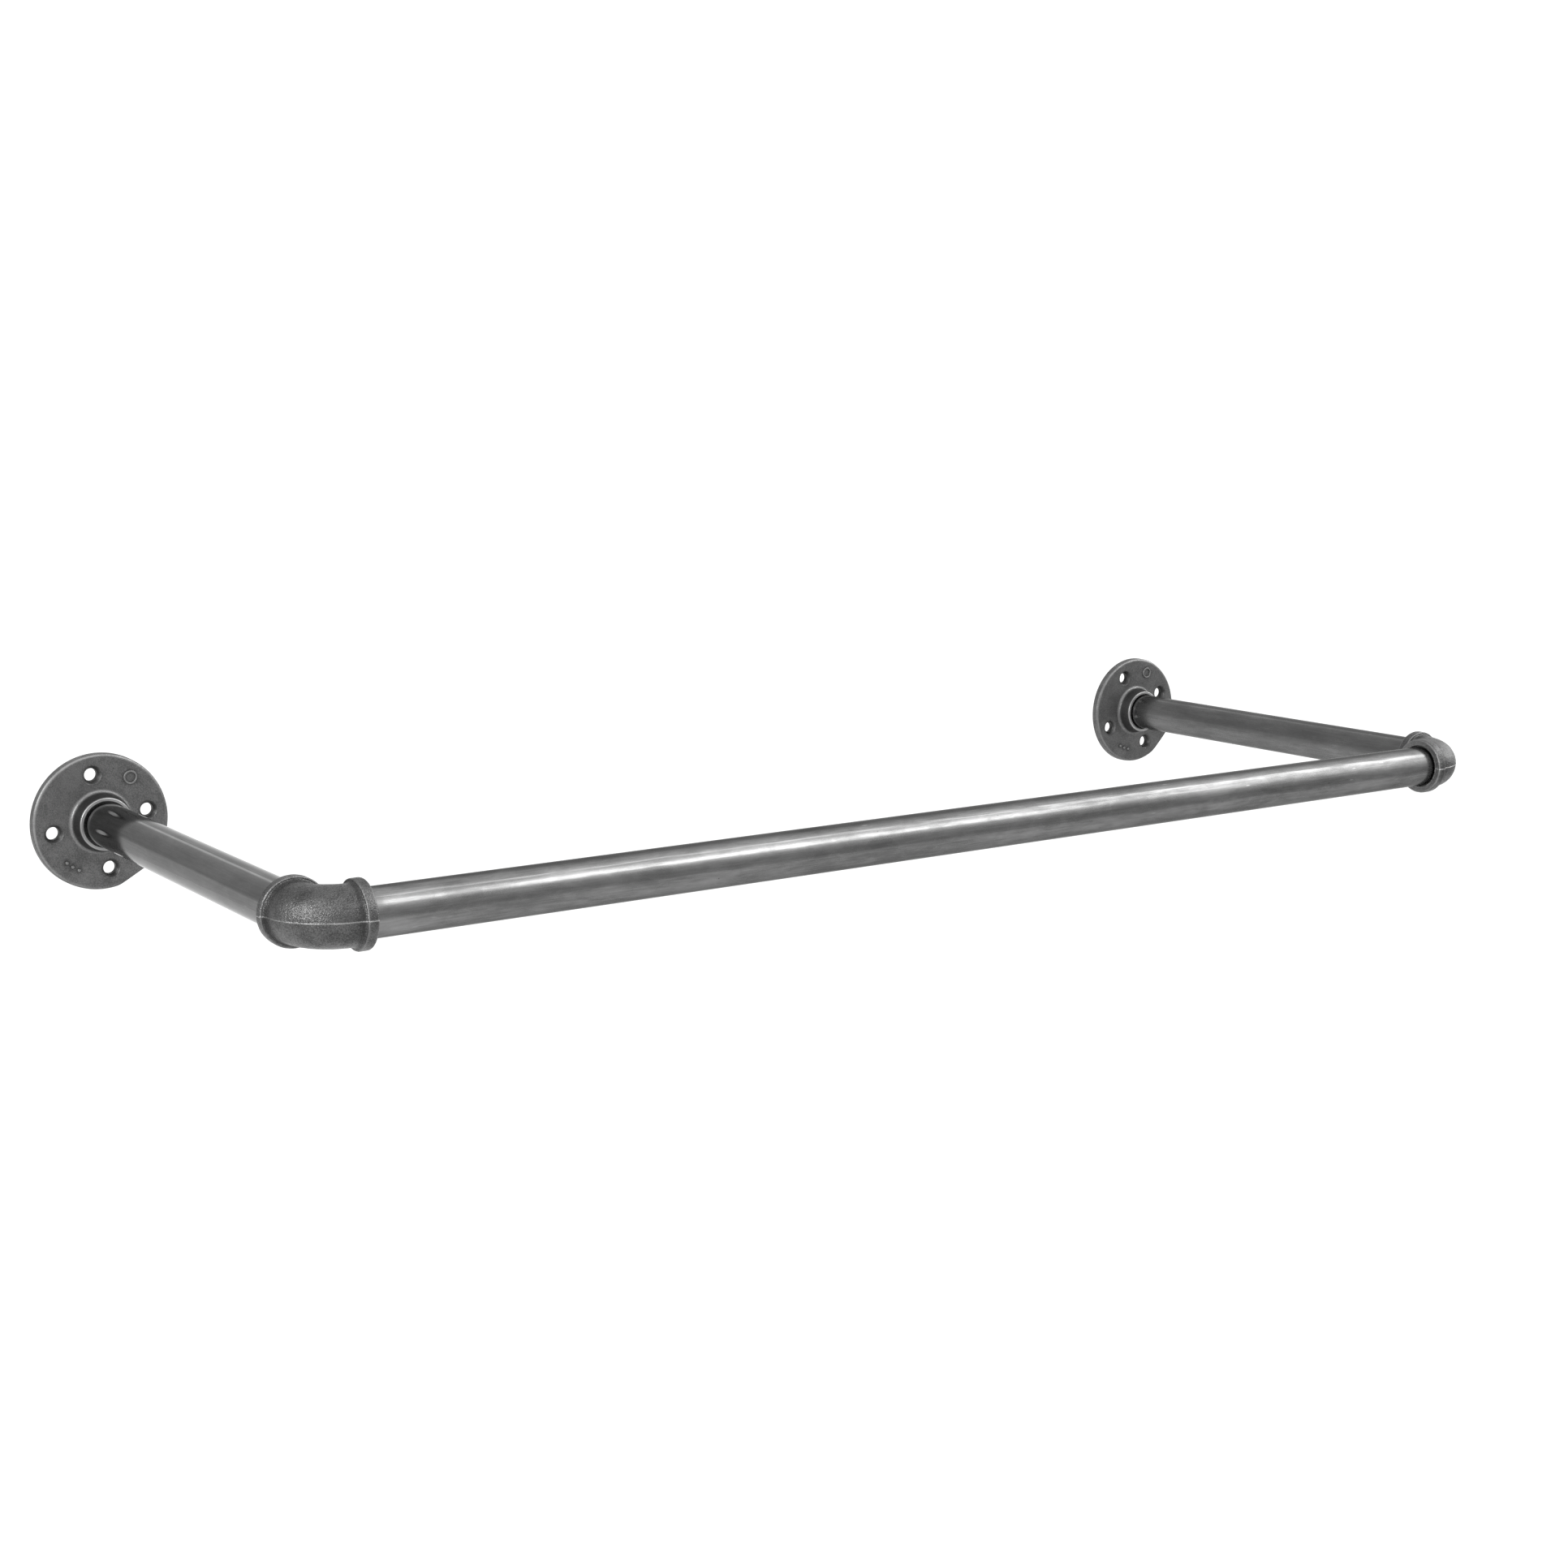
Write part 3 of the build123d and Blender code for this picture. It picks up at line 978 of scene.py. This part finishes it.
# %% [markdown]
# ### Sand-cast iron
#
# Flanges and elbows are malleable iron cast in sand, annealed and dipped in oil. The skin is dark
# grey and dull, speckled by the sand, and it is brighter and smoother where handling and the
# tumbling barrel have rubbed its edges. The speckle is one noise about as coarse as the sand, a
# little coarser than life so that it shows, and it feeds colour, gloss and relief alike.

# %% Cast iron
IRON_CLOUD_SIZE = 10 * MM
PIT_SPACING = 10 * MM
SAND_SHARE, IRON_CLOUD_SHARE = 0.65, 0.35
# The second colour is the painted shade in hollows and creases.
PIT, PAINTED_SHADE = "262626", "1c1c1c"
IRON_METALLIC = 0.85  # the rest is oil and scale


def cast_iron(name, dark, light, worn_and_highlight, grain, relief_depth, gloss):
    """Oiled cast iron. gloss is (roughness of the dull grains, of the bright ones, worn)."""
    material, tree, shader = new_material(name)
    place = add(tree, "TexCoord").outputs["Object"]
    sand = add(
        tree,
        "TexNoise",
        {"Vector": place, "Scale": 1 / grain, "Detail": 2.0, "Roughness": 0.6},
    )
    clouds = add(
        tree,
        "TexNoise",
        {"Vector": place, "Scale": 1 / IRON_CLOUD_SIZE, "Detail": 4.0, "Roughness": 0.6},
    )
    pits = add(tree, "TexVoronoi", {"Vector": place, "Scale": 1 / PIT_SPACING})
    speckle = add(tree, "MapRange", {"Value": sand.outputs[0], "From Min": 0.3, "From Max": 0.7})
    cloudy = add(tree, "MapRange", {"Value": clouds.outputs[0], "From Min": 0.35, "From Max": 0.65})
    tone = 0.0
    for pattern, share in ((speckle, SAND_SHARE), (cloudy, IRON_CLOUD_SHARE)):
        terms = {0: pattern.outputs[0], 1: share, 2: tone}
        tone = add(tree, "Math", terms, operation="MULTIPLY_ADD").outputs[0]
    stops = [(0.2, linear(dark)), (0.8, linear(light))]
    colour = add(tree, "ValToRGB", {"Fac": tone}, stops=stops)
    off_pit = add(
        tree,
        "MapRange",
        {"Value": pits.outputs["Distance"], "From Min": 0.02, "From Max": 0.045},
    )
    pitted = add(
        tree,
        "Mix",
        {"Factor": off_pit.outputs[0], 6: linear(PIT), 7: colour.outputs[0]},
        data_type="RGBA",
    )
    # The first attribute brightens scuffed iron and paints highlights on the flanges; the second
    # paints shade in hollows and creases.
    wear_and_highlight = add(tree, "Attribute", attribute_name="wear_and_highlight").outputs["Fac"]
    painted_shade = add(tree, "Attribute", attribute_name="painted_shade").outputs["Fac"]
    shaded = add(
        tree,
        "Mix",
        {"Factor": painted_shade, 6: pitted.outputs[2], 7: linear(PAINTED_SHADE)},
        data_type="RGBA",
    )
    rubbed_and_highlit = add(
        tree,
        "Mix",
        {"Factor": wear_and_highlight, 6: shaded.outputs[2], 7: linear(worn_and_highlight)},
        data_type="RGBA",
    )
    tree.links.new(rubbed_and_highlit.outputs[2], shader.inputs["Base Color"])
    rough = add(tree, "MapRange", {"Value": tone, "To Min": gloss[0], "To Max": gloss[1]})
    smoother = add(
        tree,
        "Mix",
        {"Factor": wear_and_highlight, 2: rough.outputs[0], 3: gloss[2]},
        data_type="FLOAT",
    )
    tree.links.new(smoother.outputs[0], shader.inputs["Roughness"])
    relief = add(
        tree,
        "Bump",
        {"Height": sand.outputs[0], "Distance": relief_depth, "Strength": 1.0},
    )
    tree.links.new(relief.outputs[0], shader.inputs["Normal"])
    shader.inputs["Metallic"].default_value = IRON_METALLIC
    print(name, len(tree.nodes), "nodes")
    return material


flange_iron = cast_iron(
    "sand_cast_iron_fine", "4f4f4f", "6b6b6b", "a2a2a2", 0.7 * MM, 0.09 * MM, (0.58, 0.43, 0.34)
)
elbow_iron = cast_iron(
    "sand_cast_iron_coarse", "353535", "5a5a5a", "8e8e8e", 0.72 * MM, 0.32 * MM, (0.5, 0.24, 0.34)
)

# %% [markdown]
# ## Dress the frame
#
# Every fine piece but the two marks now stands for its imported node and hides it.
# Each rides on the one body and takes its finish.

# %% Ride, replace, paint
dressed = [
    (front_rail, "front_rail", "pipe_steel", rail_steel),
    (left_pipe, "left_side_pipe", "pipe_steel", left_steel_painted_lighter),
    (right_pipe, "right_side_pipe", "pipe_steel", right_steel_painted_darker),
    (left_flange, "left_flange", "flange_iron", flange_iron),
    (right_flange, "right_flange", "flange_iron", flange_iron),
    (left_elbow, "left_elbow", "elbow_iron", elbow_iron),
    (right_elbow, "right_elbow", "elbow_iron", elbow_iron),
    (left_mark, None, "flange_iron", flange_iron),
    (right_mark, None, "flange_iron", flange_iron),
]
for piece, node, slot, material in dressed:
    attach(piece, "root")
    if node:
        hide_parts(node)
    piece.data.materials.append(material)
print(len(dressed), "pieces dressed")

# %% [markdown]
# ## Studio
#
# Bare metal looks like whatever stands round it, so the studio matters as much as the steel. The
# background is white paper. What the metal mirrors is a darker room: one long strip light above
# and in front, which draws the bright line along the rail and is dimmer past its left end, a dim
# horizon under it, and grey walls behind. The world gives both, the paper to the camera and to
# soft light, the room to reflections. One soft lamp adds the cast iron's highlights.
#
# Each wall of the room is a ramp over the height in the sky: 0 is level, 0.5 straight up, and
# 1 level on the far side. The front walls go up from the front, the side wall up from the left.

# %% Walls of the mirrored room, as {height: brightness}
STRIP_LEFT_PART = {
    0.0: 0.08,
    0.1: 0.1,
    0.19: 0.17,
    0.232: 0.33,
    0.25: 1.0,
    0.31: 1.0,
    0.34: 0.34,
    0.5: 0.23,
    0.62: 0.17,
    0.8: 0.14,
}
STRIP_RIGHT_PART = {
    0.0: 0.08,
    0.09: 0.12,
    0.15: 0.2,
    0.22: 0.3,
    0.36: 0.36,
    0.385: 1.0,
    0.44: 1.0,
    0.47: 0.42,
    0.56: 0.27,
    0.72: 0.2,
}
PAST_STRIP = {
    0.0: 0.11,
    0.1: 0.13,
    0.19: 0.16,
    0.235: 0.22,
    0.26: 0.3,
    0.32: 0.3,
    0.36: 0.22,
    0.5: 0.18,
    0.7: 0.14,
}
SIDE_WALL = {
    0.0: 0.12,
    0.06: 0.075,
    0.35: 0.08,
    0.52: 0.092,
    0.60: 0.1,
    0.625: 0.185,
    0.67: 0.185,
    0.69: 0.083,
    1.0: 0.12,
}
STRIP_BEND = (0.62, 0.74)  # rightward share of a direction where the strip steps up
STRIP_LEFT_END = (0.35, 0.43)  # rightward share past which it shines in full
WALL_CORNER = (0.3, 0.55)  # backward share where the front walls meet the side wall

# %% World
PAPER_STRENGTH = 1.15
ROOM_STRENGTH = 8.4


def grey(value):
    """Grey of one linear brightness."""
    return (value, value, value, 1.0)


def greys(wall):
    """Stops of a ramp from a wall's {height: brightness}."""
    return [(height, grey(value)) for height, value in wall.items()]


world = bpy.data.worlds.new("studio")
bpy.context.scene.world = world
world.use_nodes = True
sky = world.node_tree
sky.nodes.clear()
direction = add(sky, "TexCoord").outputs["Generated"]
axes = add(sky, "SeparateXYZ", {0: direction}).outputs
to_front = add(sky, "Math", {0: axes["Y"], 1: -1.0}, operation="MULTIPLY").outputs[0]
to_left = add(sky, "Math", {0: axes["X"], 1: -1.0}, operation="MULTIPLY").outputs[0]
front_angle = add(sky, "Math", {0: axes["Z"], 1: to_front}, operation="ARCTAN2").outputs[0]
side_angle = add(sky, "Math", {0: axes["Z"], 1: to_left}, operation="ARCTAN2").outputs[0]
front_height = add(sky, "MapRange", {"Value": front_angle, "From Max": math.pi}).outputs[0]
side_height = add(sky, "MapRange", {"Value": side_angle, "From Max": math.pi}).outputs[0]
left_part, right_part, past_strip = (
    add(sky, "ValToRGB", {"Fac": front_height}, stops=greys(wall)).outputs[0]
    for wall in (STRIP_LEFT_PART, STRIP_RIGHT_PART, PAST_STRIP)
)
side_wall = add(sky, "ValToRGB", {"Fac": side_height}, stops=greys(SIDE_WALL)).outputs[0]
past_bend, past_end, behind = (
    add(sky, "MapRange", {"Value": axes[axis], "From Min": low, "From Max": high}).outputs[0]
    for axis, (low, high) in (("X", STRIP_BEND), ("X", STRIP_LEFT_END), ("Y", WALL_CORNER))
)
strip = add(sky, "Mix", {"Factor": past_bend, 6: left_part, 7: right_part}, data_type="RGBA")
front_room = add(
    sky,
    "Mix",
    {"Factor": past_end, 6: past_strip, 7: strip.outputs[2]},
    data_type="RGBA",
)
room = add(
    sky,
    "Mix",
    {"Factor": behind, 6: front_room.outputs[2], 7: side_wall},
    data_type="RGBA",
)
mirrored = add(sky, "Background", {"Color": room.outputs[2], "Strength": ROOM_STRENGTH})
paper = add(sky, "Background", {"Color": grey(1.0), "Strength": PAPER_STRENGTH})
is_mirrored = add(sky, "LightPath").outputs["Is Glossy Ray"]
either = add(sky, "MixShader", {0: is_mirrored, 1: paper.outputs[0], 2: mirrored.outputs[0]})
add(sky, "OutputWorld", {"Surface": either.outputs[0]})
print("world of", len(sky.nodes), "nodes")

# %% Floor and key light
FLOOR_HEIGHT = -0.6
FLOOR_RADIUS = 2.0
FLOOR_MIDDLE = (0.43, -0.16)

bpy.ops.mesh.primitive_circle_add(vertices=128, radius=FLOOR_RADIUS, fill_type="NGON")
floor = bpy.context.object
floor.name = "floor"
floor.location = (*FLOOR_MIDDLE, FLOOR_HEIGHT)
floor_paper, _, floor_shader = new_material("white_paper")
floor_shader.inputs["Base Color"].default_value = linear("f4f4f4")
floor_shader.inputs["Roughness"].default_value = 0.9
floor.data.materials.append(floor_paper)


def area_light(name, place, target, size, power):
    """Square soft light of so many watts, at a place and turned to a target."""
    data = bpy.data.lights.new(name, "AREA")
    data.size = size
    data.energy = power
    lamp = bpy.data.objects.new(name, data)
    lamp.location = place
    turn = (lamp.location - type(lamp.location)(target)).to_track_quat("Z", "Y")
    lamp.rotation_euler = turn.to_euler()
    bpy.context.scene.collection.objects.link(lamp)
    print("%s light: %.0f W, %.2f m across" % (name, power, size))


area_light("key", (-1.7, -0.9, 0.78), target=(0.0, -0.3, 0.0), size=0.45, power=34.0)

# %% Camera
CAMERA_ANGLES = (80.025, -0.116, -34.904)  # degrees

view_camera = bpy.data.cameras.new("camera")
view_camera.sensor_width = 36.0
view_camera.lens = 53.157
camera = bpy.data.objects.new("camera", view_camera)
camera.location = (-0.4509, -1.3754, 0.2672)
camera.rotation_euler = [math.radians(angle) for angle in CAMERA_ANGLES]
bpy.context.scene.collection.objects.link(camera)
bpy.context.scene.camera = camera
bpy.context.scene.view_settings.view_transform = "Standard"
print("camera %.2f m from the left flange" % camera.location.length)
